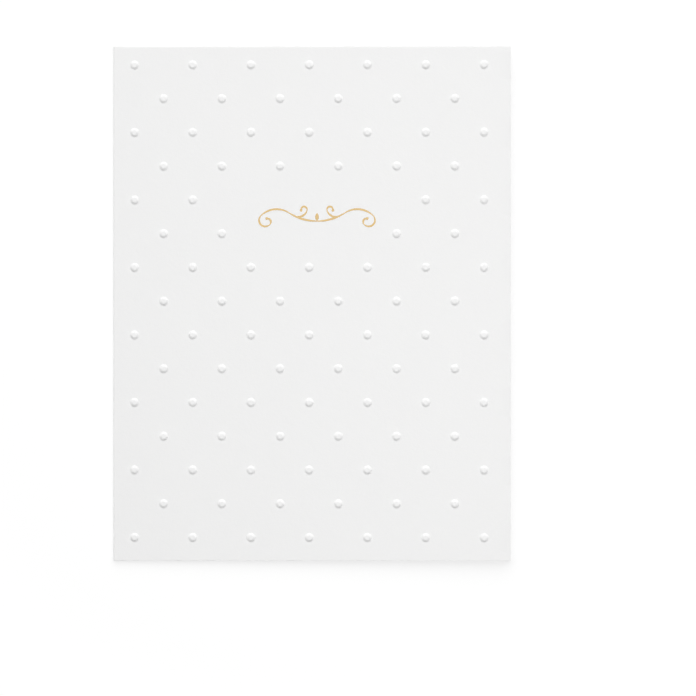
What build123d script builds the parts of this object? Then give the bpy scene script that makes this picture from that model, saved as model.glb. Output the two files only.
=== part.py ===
from build123d import *
from math import floor
import os

# A side-folded greeting card of thick cotton paper, closed and lying on its back panel.
# X runs across the card from the fold to the free edges, Y up the page and Z up.
# The origin is under the middle of the card, on the surface it lies on.
# Lengths are in millimetres and angles in degrees.

# The folded sheet
card_width = 107.95  # fold to free edge
card_height = 139.7  # along the fold
paper_thickness = 0.5
crease_radius = 0.15  # inside of the fold
opening_angle = 0.9  # the front panel springs up this far from the back panel

# The embossed dots, raised on the outside of the front panel and hollow on its inside
dot_diameter = 2.48
dot_rise = 0.32
die_clearance = 0.3  # the hollow is this much smaller than the dot, all round
hollow_sides = 8
dot_pitch = 15.82  # along a row
row_pitch = 9.17  # from a row to the next, which is staggered by half a pitch
dot_margin = 4.5  # least distance from a panel's edge to the middle of a dot
dots_right = -0.76  # the pattern sits a little off the panel's middle
dots_up = 0.63

# The foil flourish, two pen strokes a side, each a chain of arcs
foil_thickness = 0.03
flourish_right = 1.36  # from the panel's middle
flourish_up = 23.8
flourish_clearance = 4.5  # no dot's middle comes nearer than this
hairline = 0.26  # the pen line where two arcs meet
swell = 0.56  # the pen line in the middle of an arc
scroll_drop = 1.4  # the scrolls meet this far below the flourish's middle
sweep_radius = 14.0  # the scroll's arcs, from the flourish's middle outwards
crest_radius = 6.1
curl_radius = 1.7
eye_radius = 0.95
tendril_radius = 2.4
tendril_eye_radius = 0.82
tendril_root = 0.78  # where it leaves the scroll's first arc, as a share of that arc
bead_diameter = 0.76  # ends each stroke
bud_height = 2.2
bud_width = 1.0
bud_reach = 0.1  # how far the bud's point runs into the pen line

# Each arc of a pen stroke as (radius, turn)
scroll_arcs = [(sweep_radius, 33), (crest_radius, -78), (curl_radius, -185), (eye_radius, -140)]
tendril_arcs = [(tendril_radius, -100), (tendril_eye_radius, -210)]

# The outside of the section, from the free edge of the back panel round the fold
fold_radius = crease_radius + paper_thickness
panel = card_width - fold_radius
back = Line((card_width / 2, 0), (fold_radius - card_width / 2, 0))
fold = JernArc(back @ 1, back % 1, fold_radius, opening_angle - 180)
front = PolarLine(fold @ 1, panel, direction=fold % 1)
along = front % 0

# The front panel's outer face as a plane, with its origin over the middle of the card
middle = front @ ((card_width / 2 - fold_radius) / panel)
front_face = Plane((middle.X, 0, middle.Y), (along.X, 0, along.Y), (-along.Y, 0, along.X))


def folded_sheet():
    front_edge = PolarLine(front @ 1, paper_thickness, angle=opening_angle - 90)
    inner_front = Line(front_edge @ 1, front_edge @ 1 - panel * along)
    crease = JernArc(inner_front @ 1, inner_front % 1, crease_radius, 180 - opening_angle)
    inner_back = Line(crease @ 1, (card_width / 2, paper_thickness))
    back_edge = Line(inner_back @ 1, back @ 0)
    outline = [back, fold, front, front_edge, inner_front, crease, inner_back, back_edge]
    return extrude(Plane.XZ * make_face(outline), card_height / 2, both=True)


def dome():
    # the cap of a ball, rooted in the paper, with the ball's poles turned clear of the cap
    radius = (dot_diameter**2 / 4 + dot_rise**2) / (2 * dot_rise)
    ball = Pos(0, 0, dot_rise - radius) * Sphere(radius, rotation=(90, 0, 0))
    return split(ball, Plane.XY.offset(-paper_thickness / 4), keep=Keep.TOP)


def hollow():
    # a shallow cone of few sides, as deep as the dome is high, so the paper keeps its thickness
    mouth = Pos(0, 0, -paper_thickness) * RegularPolygon(dot_diameter / 2 - die_clearance, hollow_sides)
    return loft([mouth, Vertex(0, 0, dot_rise - paper_thickness)], ruled=True)


def pen_path(start, direction, arcs):
    path = []
    for radius, turn in arcs:
        path.append(JernArc(start, direction, radius, turn))
        start, direction = path[-1] @ 1, path[-1] % 1
    return path


def pen_line(arc):
    # the pen's two edges, spread by its pressure in the middle of the arc
    edges = []
    for hand in (-1, 1):
        points = []
        for share, width in ((0, hairline), (0.5, swell), (1, hairline)):
            across = (arc % share).rotate(Axis.Z, 90)
            points.append(arc @ share + across * hand * width / 2)
        edges.append(ThreePointArc(*points))
    right, left = edges
    return make_face([right, Line(right @ 1, left @ 1), left, Line(left @ 0, right @ 0)])


def flourish():
    scroll = pen_path((0, -scroll_drop), (1, 0), scroll_arcs)
    stem = scroll[0]
    tendril = pen_path(stem @ tendril_root, -(stem % tendril_root), tendril_arcs)
    strokes = [pen_line(arc) for arc in scroll + tendril]
    beads = [Pos(path[-1] @ 1) * Circle(bead_diameter / 2) for path in (scroll, tendril)]
    half = Sketch() + strokes + beads

    foot = hairline / 2 - scroll_drop - bud_reach
    waist = foot + bud_height / 2
    tip = foot + bud_height
    cheeks = [ThreePointArc((0, foot), (x, waist), (0, tip)) for x in (-bud_width / 2, bud_width / 2)]
    return half + mirror(half, Plane.YZ) + make_face(cheeks)


def dot_places(ornament):
    # two grids make the staggered rows, and the paper round the flourish stays smooth
    across = 1 + floor((card_width - 2 * dot_margin) / dot_pitch)
    down = 1 + floor((card_height - 2 * dot_margin) / (2 * row_pitch))
    grids = [GridLocations(dot_pitch, 2 * row_pitch, across - n, down - n) for n in (0, 1)]
    places = [Pos(dots_right, dots_up) * place for grid in grids for place in grid]
    box = ornament.bounding_box()
    clear_right = box.size.X / 2 + flourish_clearance
    clear_up = box.size.Y / 2 + flourish_clearance

    def on_smooth_paper(place):
        away = place.position - box.center()
        return abs(away.X) < clear_right and abs(away.Y) < clear_up

    return [place for place in places if not on_smooth_paper(place)]


def embossed_card(ornament):
    places = dot_places(ornament)
    bump, pit = dome(), hollow()
    sheet = folded_sheet() + [front_face * (place * bump) for place in places]
    return sheet - [front_face * (place * pit) for place in places]


ornament = Pos(flourish_right, flourish_up) * flourish()
nodes = {
    "card": embossed_card(ornament),
    "foil_flourish": front_face * extrude(ornament, foil_thickness),
}

os.makedirs("parts", exist_ok=True)
for name, solid in nodes.items():
    export_step(solid, f"parts/{name}.step")
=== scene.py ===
import math

import bpy
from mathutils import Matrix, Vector


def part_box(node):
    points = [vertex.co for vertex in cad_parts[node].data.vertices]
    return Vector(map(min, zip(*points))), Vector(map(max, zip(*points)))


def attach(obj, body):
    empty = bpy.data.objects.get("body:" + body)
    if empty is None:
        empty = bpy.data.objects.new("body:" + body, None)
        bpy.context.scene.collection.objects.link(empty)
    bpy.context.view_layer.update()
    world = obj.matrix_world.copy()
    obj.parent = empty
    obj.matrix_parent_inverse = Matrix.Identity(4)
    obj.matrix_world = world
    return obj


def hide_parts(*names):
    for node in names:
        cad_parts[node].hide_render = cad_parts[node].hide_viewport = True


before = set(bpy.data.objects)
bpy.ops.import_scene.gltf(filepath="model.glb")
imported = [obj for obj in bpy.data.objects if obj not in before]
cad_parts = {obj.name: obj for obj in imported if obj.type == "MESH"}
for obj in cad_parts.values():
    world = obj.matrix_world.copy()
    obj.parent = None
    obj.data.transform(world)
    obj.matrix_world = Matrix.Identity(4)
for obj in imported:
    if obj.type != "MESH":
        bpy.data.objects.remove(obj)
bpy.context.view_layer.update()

# A closed greeting card of thick cotton paper: staggered blind-embossed dots and a small
# gold foil flourish on its front. Lengths in the dictionaries are in millimetres.

scene = bpy.context.scene
millimetre = 0.001


def mm(*lengths):
    scaled = [length * millimetre for length in lengths]
    return scaled[0] if len(scaled) == 1 else tuple(scaled)


near = mm(0.003)  # a vertex this near to a place counts as being there


# Helpers for selecting and for work in edit mode

def deselectAll():
    for obj in bpy.context.selected_objects:
        obj.select_set(False)


def makeActive(obj):
    deselectAll()
    obj.select_set(True)
    bpy.context.view_layer.objects.active = obj


def editMode():
    bpy.ops.object.mode_set(mode="EDIT")
    bpy.ops.mesh.select_mode(type="VERT")
    bpy.ops.mesh.select_all(action="DESELECT")


def objectMode():
    bpy.ops.object.mode_set(mode="OBJECT")


def pickVerts(obj, test):
    # vertices are picked in object mode, and edges and faces follow them
    objectMode()
    for vert in obj.data.vertices:
        vert.select = test(vert.co)
    for edge in obj.data.edges:
        edge.select = all(obj.data.vertices[i].select for i in edge.vertices)
    for face in obj.data.polygons:
        face.select = all(obj.data.vertices[i].select for i in face.vertices)
    bpy.ops.object.mode_set(mode="EDIT")


def applyModifier(obj, kind, **settings):
    makeActive(obj)
    modifier = obj.modifiers.new(kind.title(), kind)
    for name, value in settings.items():
        setattr(modifier, name, value)
    bpy.ops.object.modifier_apply(modifier=modifier.name)


# The camera looks straight down on the card, which lies up and to the left of the picture's middle

cameraSetup = {
    "lens": 200.0,
    "sensor": 36.0,
    "pictureWidth": 189.02,  # what the picture spans at the card's front
    "frontHeight": 2.0,  # of the card's front, on average
    "aimX": 9.76,
    "aimY": -12.06,
    "clipStart": 10.0,
}

cameraHeight = cameraSetup["lens"] / cameraSetup["sensor"] * cameraSetup["pictureWidth"]
bpy.ops.object.camera_add(location=mm(
    cameraSetup["aimX"], cameraSetup["aimY"], cameraHeight + cameraSetup["frontHeight"]))
camera = bpy.context.object
camera.name = "studioCamera"
camera.rotation_euler = (0, 0, 0)
camera.data.lens = cameraSetup["lens"]
camera.data.sensor_width = cameraSetup["sensor"]
camera.data.clip_start = mm(cameraSetup["clipStart"])
scene.camera = camera
print("camera set,", round(cameraHeight), "mm above the card")


# The embossed dot, with the piece of paper round it, modelled once

dotLook = {
    "radius": 1.24,
    "sides": 32,
    "steepest": 29.5,  # slope of the dot's flank, in degrees
    "crown": 0.45,  # the flat top ends at this radius
    "shoulder": 0.85,  # the flank is at its steepest from here outwards
    "foot": 0.03,  # the flank runs out into the paper this far inside and outside the radius
    # radii of the rings of vertices that draw the profile, from the paper inwards
    "rings": [1.33, 1.275, 1.24, 1.205, 1.12, 1.02, 0.91, 0.79, 0.67, 0.55, 0.43, 0.3],
    "heightSteps": 400,  # the profile's height is added up in this many steps
    "pitchX": 15.82,  # along a row
    "pitchY": 9.17,  # from a row to the next, which is staggered by half a pitch
    "squaresX": 10,  # the tile of paper round a dot is a grid of this many squares
    "squaresY": 6,
    "right": -0.76,  # the pattern sits a little off the card's middle
    "up": 0.63,
    "rows": 15,
    "across": 7,  # dots in the first row, and one fewer in the next
    "clearance": 4.5,  # no dot's middle comes nearer to the flourish than this
}


def smoothStep(low, high, value):
    share = min(max((value - low) / (high - low), 0), 1)
    return share * share * (3 - 2 * share)


def dotSlope(radius):
    look = dotLook
    rise = smoothStep(look["crown"], look["shoulder"], radius)
    foot = 1 - smoothStep(look["radius"] - look["foot"], look["radius"] + look["foot"], radius)
    return math.tan(math.radians(look["steepest"])) * rise * foot


def dotHeight(radius):
    # the slope is added up from the foot inwards
    steps, outer = dotLook["heightSteps"], dotLook["rings"][0]
    width = (outer - radius) / steps
    return sum(dotSlope(radius + (k + 0.5) * width) for k in range(steps)) * width


def makeTile(name):
    look = dotLook
    deselectAll()
    bpy.ops.mesh.primitive_grid_add(
        x_subdivisions=look["squaresX"], y_subdivisions=look["squaresY"], size=1)
    tile = bpy.context.object
    tile.name = name
    editMode()
    bpy.ops.mesh.select_all(action="SELECT")
    bpy.ops.transform.resize(value=(mm(look["pitchX"]), mm(look["pitchY"]), 1))
    objectMode()
    return tile


def insideTile(co):
    # all but the tile's border
    return (abs(co.x) < mm(dotLook["pitchX"] / 2) - near
            and abs(co.y) < mm(dotLook["pitchY"] / 2) - near)


def onRing(radius, height):
    def test(co):
        return abs(math.hypot(co.x, co.y) - mm(radius)) < near and abs(co.z - mm(height)) < near
    return test


plainTile = makeTile("plainTile")
dotTile = makeTile("dotTile")
editMode()
pickVerts(dotTile, insideTile)
bpy.ops.mesh.delete(type="VERT")
rings = dotLook["rings"]
bpy.ops.mesh.primitive_circle_add(
    vertices=dotLook["sides"], radius=mm(rings[0]), fill_type="NOTHING")
bpy.ops.mesh.select_all(action="SELECT")
bpy.ops.mesh.select_mode(type="EDGE")
bpy.ops.mesh.bridge_edge_loops()

previous = 0.0
for outer, inner in zip(rings, rings[1:]):
    bpy.ops.mesh.select_mode(type="VERT")
    pickVerts(dotTile, onRing(outer, previous))
    height = dotHeight(inner)
    bpy.ops.mesh.extrude_edges_move(TRANSFORM_OT_translate={"value": mm(0, 0, height - previous)})
    bpy.ops.transform.resize(value=(inner / outer, inner / outer, 1),
                             center_override=mm(0, 0, height))
    previous = height
dotTop = dotHeight(0)
pickVerts(dotTile, onRing(rings[-1], previous))
bpy.ops.mesh.extrude_edges_move(TRANSFORM_OT_translate={"value": mm(0, 0, dotTop - previous)})
bpy.ops.mesh.merge(type="CENTER")
objectMode()
print("dot modelled:", len(dotTile.data.polygons), "faces,", round(dotTop, 3), "mm high")


# The card's sheet: the tiles are set out, trimmed to the front panel, opened at the fold
# and carried round it into the back panel

sheetLook = {
    "thickness": 0.5,
    "creaseRadius": 0.15,  # inside of the fold
    "opening": 0.9,  # the front panel's spring, in degrees
    "foldSteps": 24,
    "foldSquareness": 6.0,  # 2 is a round bend
    "edgeAngle": 60,  # sharper edges than this are worn, in degrees
    "edgeWear": 0.02,  # width of the cut edges' rounding
    "edgeSteps": 2,
    "smoothAngle": 35,
    "tileWeld": 0.004,  # where the tiles meet, vertices nearer than this become one
    "foldWeld": 0.002,  # and where the panels meet the fold
    "trimSnap": 0.0005,  # a vertex this near to a cut lies on it
}

cardLow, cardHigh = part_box("card")
foilLow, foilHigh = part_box("foil_flourish")
foilMiddle = (foilLow + foilHigh) / 2
foilReach = (foilHigh - foilLow) / 2
foldRadius = sheetLook["creaseRadius"] + sheetLook["thickness"]
foldX = cardLow.x / millimetre + foldRadius
freeX = cardHigh.x / millimetre
halfHeight = cardHigh.y / millimetre
foldAxis = mm(foldX, 0, foldRadius)


def copyTo(tile, x, y):
    # the closed card's front is two fold radii up
    copied = tile.copy()
    copied.data = tile.data.copy()
    copied.location = mm(x, y, 2 * foldRadius)
    scene.collection.objects.link(copied)
    return copied


def onSmoothPaper(x, y):
    # the paper round the flourish has no dots
    clearance = mm(dotLook["clearance"])
    return (abs(mm(x) - foilMiddle.x) < foilReach.x + clearance
            and abs(mm(y) - foilMiddle.y) < foilReach.y + clearance)


# one more row at each end and one more tile at the ends of each row are plain paper
tiles = []
dotCount = 0
for row in range(-1, dotLook["rows"] + 1):
    rowY = (row - (dotLook["rows"] - 1) / 2) * dotLook["pitchY"] + dotLook["up"]
    across = dotLook["across"] if row % 2 == 0 else dotLook["across"] - 1
    for column in range(-1, across + 1):
        tileX = (column - (across - 1) / 2) * dotLook["pitchX"] + dotLook["right"]
        if tileX - dotLook["pitchX"] / 2 > freeX or tileX + dotLook["pitchX"] / 2 < foldX:
            continue
        inPattern = 0 <= row < dotLook["rows"] and 0 <= column < across
        raised = inPattern and not onSmoothPaper(tileX, rowY)
        dotCount += raised
        tiles.append(copyTo(dotTile if raised else plainTile, tileX, rowY))

deselectAll()
for tile in tiles:
    tile.select_set(True)
paper = tiles[0]
bpy.context.view_layer.objects.active = paper
bpy.ops.object.join()
bpy.data.objects.remove(dotTile)
bpy.data.objects.remove(plainTile)
paper.name = "card_paper"
paper.data.name = "card_paper"
makeActive(paper)
bpy.ops.object.transform_apply(location=True, rotation=True, scale=True)
editMode()
bpy.ops.mesh.select_all(action="SELECT")
bpy.ops.mesh.remove_doubles(threshold=mm(sheetLook["tileWeld"]))

for place, normal in (
    (mm(foldX, 0, 0), (-1, 0, 0)),
    (mm(freeX, 0, 0), (1, 0, 0)),
    (mm(0, halfHeight, 0), (0, 1, 0)),
    (mm(0, -halfHeight, 0), (0, -1, 0)),
):
    bpy.ops.mesh.select_all(action="SELECT")
    bpy.ops.mesh.bisect(plane_co=place, plane_no=normal, clear_outer=True,
                        threshold=mm(sheetLook["trimSnap"]))
print("front panel set out:", dotCount, "dots")

opening = math.radians(sheetLook["opening"])
bpy.ops.mesh.select_all(action="SELECT")
bpy.ops.transform.rotate(value=opening, orient_axis="Y", center_override=foldAxis)
objectMode()
freeEdge = max(paper.data.vertices, key=lambda vert: vert.co.x)
print("free edge of the front panel at", round(freeEdge.co.z / millimetre, 3), "mm")

foldStart = mm(foldX - foldRadius * math.sin(opening))  # the opened front panel ends here
editMode()
pickVerts(paper, lambda co: co.x < foldStart + near)
bpy.ops.mesh.select_mode(type="EDGE")
bpy.ops.mesh.spin(steps=sheetLook["foldSteps"], angle=math.pi - opening,
                  center=foldAxis, axis=(0, 1, 0))
bpy.ops.mesh.select_mode(type="VERT")
pickVerts(paper, lambda co: co.z < near)
bpy.ops.mesh.extrude_edges_move(TRANSFORM_OT_translate={"value": mm(freeX - foldX, 0, 0)})
bpy.ops.mesh.select_all(action="SELECT")
bpy.ops.mesh.remove_doubles(threshold=mm(sheetLook["foldWeld"]))
bpy.ops.mesh.normals_make_consistent(inside=False)
objectMode()

# the wall goes inwards from the outer face, and its rim takes the cut edge's own finish
for name in ("cotton_paper", "cut_edge"):
    paper.data.materials.append(bpy.data.materials.new(name))
applyModifier(paper, "SOLIDIFY", thickness=mm(sheetLook["thickness"]), offset=-1,
              use_even_offset=True, use_rim=True, material_offset_rim=1)

# the outside of the fold is pressed squarer than a round bend, ring by ring
foldRings = {}
for vert in paper.data.vertices:
    dx, dz = vert.co.x - foldAxis[0], vert.co.z - foldAxis[2]
    if vert.co.x < foldStart - near and abs(math.hypot(dx, dz) - mm(foldRadius)) < near:
        foldRings.setdefault(round(math.degrees(math.atan2(dz, -dx)), 1), []).append(vert.index)
power = sheetLook["foldSquareness"]
for angle, members in foldRings.items():
    cosine, sine = math.cos(math.radians(angle)), math.sin(math.radians(angle))
    push = mm(foldRadius) * ((abs(cosine) ** power + abs(sine) ** power) ** (-1 / power) - 1)
    editMode()  # which deselects all
    objectMode()
    for index in members:
        paper.data.vertices[index].select = True
    bpy.ops.object.mode_set(mode="EDIT")
    bpy.ops.transform.translate(value=(-cosine * push, 0, sine * push))
    objectMode()
print("fold pressed square:", len(foldRings), "rings")

applyModifier(paper, "BEVEL", width=mm(sheetLook["edgeWear"]), segments=sheetLook["edgeSteps"],
              limit_method="ANGLE", angle_limit=math.radians(sheetLook["edgeAngle"]),
              harden_normals=False)
bpy.ops.object.shade_smooth_by_angle(angle=math.radians(sheetLook["smoothAngle"]))
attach(paper, "root")
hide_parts("card")
paper.data.calc_loop_triangles()
print("sheet finished:", len(paper.data.loop_triangles), "triangles")


# Materials, written as expressions on sockets

class Wire:
    def __init__(self, tree, socket):
        self.tree = tree
        self.socket = socket

    def maths(self, operation, first, second):
        return makeNode(self.tree, "ShaderNodeMath", {"operation": operation}, {0: first, 1: second})

    def __add__(self, other):
        return self.maths("ADD", self, other)

    def __radd__(self, other):
        return self.maths("ADD", other, self)

    def __mul__(self, other):
        return self.maths("MULTIPLY", self, other)

    def __rmul__(self, other):
        return self.maths("MULTIPLY", other, self)

    def highest(self, other):
        return self.maths("MAXIMUM", self, other)


def makeNode(tree, kind, settings, inputs, output=0):
    node = tree.nodes.new(kind)
    for name, value in settings.items():
        setattr(node, name, value)
    for name, value in inputs.items():
        if isinstance(value, Wire):
            tree.links.new(value.socket, node.inputs[name])
        else:
            node.inputs[name].default_value = value
    return Wire(tree, node.outputs[output]) if node.outputs else None


def startMaterial(material):
    # an empty tree, and the place on the piece that its patterns read
    material.use_nodes = True
    tree = material.node_tree
    tree.nodes.clear()
    return tree, makeNode(tree, "ShaderNodeTexCoord", {}, {}, "Object")


def noise(tree, place, grain, detail=3, roughness=0.6, stretch=(1, 1, 1)):
    # grain is the pattern's size in millimetres
    scaled = makeNode(tree, "ShaderNodeMapping", {}, {"Vector": place, "Scale": stretch})
    return makeNode(tree, "ShaderNodeTexNoise", {}, {
        "Vector": scaled, "Scale": 1 / mm(grain), "Detail": detail, "Roughness": roughness}, "Fac")


def mixColour(tree, factor, first, second):
    # a colour mix has its factor on socket 0, its colours on 6 and 7, and its result on 2
    return makeNode(tree, "ShaderNodeMix", {"data_type": "RGBA"}, {
        0: factor, 6: (*first, 1), 7: (*second, 1)}, 2)


def finishMaterial(tree, look, tint, relief, roughness):
    # tint runs from the shade to the colour, and relief is as deep as the look says
    colour = mixColour(tree, tint, look["shade"], look["colour"])
    bump = makeNode(tree, "ShaderNodeBump", {}, {
        "Strength": 1.0, "Distance": mm(look["depth"]), "Height": relief})
    surface = makeNode(tree, "ShaderNodeBsdfPrincipled", {}, {
        "Base Color": colour, "Roughness": roughness, "Metallic": look["metallic"],
        "Specular IOR Level": look["specular"], "Normal": bump})
    makeNode(tree, "ShaderNodeOutputMaterial", {}, {"Surface": surface})


paperLook = {
    "colour": (0.886, 0.886, 0.884),
    "shade": (0.864, 0.864, 0.862),
    "cloudTint": 0.6,  # the clouds' share in the tint, and the tooth has the rest
    "metallic": 0.0,
    "specular": 0.25,
    "roughness": 0.88,
    "feltRoughness": 0.06,
    "cloud": 14.0,  # grain of each pattern
    "tooth": 0.34,
    "felt": 0.9,
    "fibre": 0.11,
    "fibreStretch": (1, 0.35, 1),  # the fibres lie along the fold
    "toothHeight": 0.6,  # height of each pattern, as a share of the depth
    "feltHeight": 0.8,
    "fibreHeight": 0.25,
    "depth": 0.022,
}


def paintPaper(material, look):
    tree, place = startMaterial(material)
    cloud = noise(tree, place, look["cloud"], roughness=0.5)
    tooth = noise(tree, place, look["tooth"], detail=4)
    felt = noise(tree, place, look["felt"], detail=2, roughness=0.5)
    fibre = noise(tree, place, look["fibre"], stretch=look["fibreStretch"])
    tint = cloud * look["cloudTint"] + tooth * (1 - look["cloudTint"])
    relief = tooth * look["toothHeight"] + felt * look["feltHeight"] + fibre * look["fibreHeight"]
    finishMaterial(tree, look, tint, relief, look["roughness"] + felt * look["feltRoughness"])


cutLook = {
    "colour": (0.88, 0.876, 0.865),
    "shade": (0.82, 0.815, 0.802),
    "metallic": 0.0,
    "specular": 0.2,
    "roughness": 0.92,
    "layers": 0.05,  # grain of each pattern
    "layerStretch": (0.2, 0.2, 1),  # the layers run round the sheet's edge
    "torn": 0.2,
    "layerHeight": 0.6,
    "tornHeight": 0.5,
    "depth": 0.02,
}


def paintCut(material, look):
    tree, place = startMaterial(material)
    layers = noise(tree, place, look["layers"], stretch=look["layerStretch"])
    torn = noise(tree, place, look["torn"], detail=4)
    relief = layers * look["layerHeight"] + torn * look["tornHeight"]
    finishMaterial(tree, look, layers, relief, look["roughness"])


foilLook = {
    "colour": (0.785, 0.58, 0.3),
    "shade": (0.71, 0.51, 0.25),
    "wornTint": 0.7,  # the wear's share in the tint, and the tooth has the rest
    "metallic": 1.0,
    "specular": 0.5,
    "roughness": 0.2,
    "toothRoughness": 0.08,
    "worn": 2.2,  # grain of each pattern
    "tooth": 0.34,
    "depth": 0.004,
}


def paintFoil(material, look):
    tree, place = startMaterial(material)
    worn = noise(tree, place, look["worn"])
    tooth = noise(tree, place, look["tooth"])
    tint = worn * look["wornTint"] + tooth * (1 - look["wornTint"])
    finishMaterial(tree, look, tint, tooth, look["roughness"] + tooth * look["toothRoughness"])


paintPaper(paper.data.materials[0], paperLook)
paintCut(paper.data.materials[1], cutLook)
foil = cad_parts["foil_flourish"]
goldFoil = bpy.data.materials.new("gold_foil")
paintFoil(goldFoil, foilLook)
foil.data.materials.clear()
foil.data.materials.append(goldFoil)
print("finishes painted")


# The studio: a pale floor, white all round, one soft lamp beyond the top of the card and a
# small one to the right of its foot

studioLook = {
    "ambient": 0.27,  # light from all round, as a share of full white
    "key": 0.925,  # light that each lamp adds on the flat card
    "keySize": 2100,
    "keyDistance": 1700,
    "keyHeight": 47,  # elevation, in degrees
    "fill": 0.13,
    "fillPlace": (70, -72, 260),
    "fillSize": 160,
    "floorColour": (0.93, 0.93, 0.93),
    "floorGlow": 0.7,  # share of plain white that the camera sees in the floor
    "floorWhite": 1.05,
    "floorSize": 6000,
    "fadeFrom": 100,  # from here outwards the floor turns all white to the camera
    "fadeTo": 200,
}
plainWhite = (1, 1, 1, 1)


def seenDirectly(tree):
    # 1 for what the camera, metal and glass see, and 0 for the light that falls on the card
    path = makeNode(tree, "ShaderNodeLightPath", {}, {}).socket.node
    seen = [Wire(tree, path.outputs[name]) for name in (
        "Is Camera Ray", "Is Glossy Ray", "Is Transmission Ray")]
    return seen[0].highest(seen[1]).highest(seen[2])


def lightSky():
    world = scene.world or bpy.data.worlds.new("studioWorld")
    scene.world = world
    world.use_nodes = True
    tree = world.node_tree
    tree.nodes.clear()
    strength = studioLook["ambient"] + seenDirectly(tree) * (1 - studioLook["ambient"])
    sky = makeNode(tree, "ShaderNodeBackground", {}, {"Color": plainWhite, "Strength": strength})
    makeNode(tree, "ShaderNodeOutputWorld", {}, {"Surface": sky})


def addLamp(name, place, size, share):
    bpy.ops.object.light_add(type="AREA", location=place)
    lamp = bpy.context.object
    lamp.name = name
    lamp.rotation_euler = place.to_track_quat("Z", "Y").to_euler()
    lamp.data.shape = "SQUARE"
    lamp.data.size = mm(size)
    lamp.visible_camera = False
    lamp.visible_glossy = False  # or the foil would mirror it and turn white
    # the power that adds this share of full white on the flat card, from this far and aslant
    aslant = place.z / place.length
    lamp.data.energy = share * math.pi ** 2 * place.length ** 2 / aslant


def paintFloor(material):
    tree, place = startMaterial(material)
    plain = makeNode(tree, "ShaderNodeBsdfDiffuse", {}, {"Color": (*studioLook["floorColour"], 1)})
    white = makeNode(tree, "ShaderNodeEmission", {}, {
        "Color": plainWhite, "Strength": studioLook["floorWhite"]})
    span = makeNode(tree, "ShaderNodeVectorMath", {"operation": "LENGTH"}, {0: place}, "Value")
    glow = makeNode(tree, "ShaderNodeMapRange", {}, {
        "Value": span, "From Min": mm(studioLook["fadeFrom"]), "From Max": mm(studioLook["fadeTo"]),
        "To Min": studioLook["floorGlow"], "To Max": 1.0})
    surface = makeNode(tree, "ShaderNodeMixShader", {}, {
        0: seenDirectly(tree) * glow, 1: plain, 2: white})
    makeNode(tree, "ShaderNodeOutputMaterial", {}, {"Surface": surface})


lightSky()
elevation = math.radians(studioLook["keyHeight"])
towardsKey = Vector((0, math.cos(elevation), math.sin(elevation)))
addLamp("keyLamp", towardsKey * mm(studioLook["keyDistance"]), studioLook["keySize"],
        studioLook["key"])
addLamp("fillLamp", Vector(mm(*studioLook["fillPlace"])), studioLook["fillSize"],
        studioLook["fill"])

deselectAll()
bpy.ops.mesh.primitive_plane_add(size=mm(studioLook["floorSize"]), location=(0, 0, 0))
floor = bpy.context.object
floor.name = "studioFloor"
floorPaint = bpy.data.materials.new("pale_floor")
floor.data.materials.append(floorPaint)
paintFloor(floorPaint)
scene.view_settings.view_transform = "Standard"
print("studio lit")
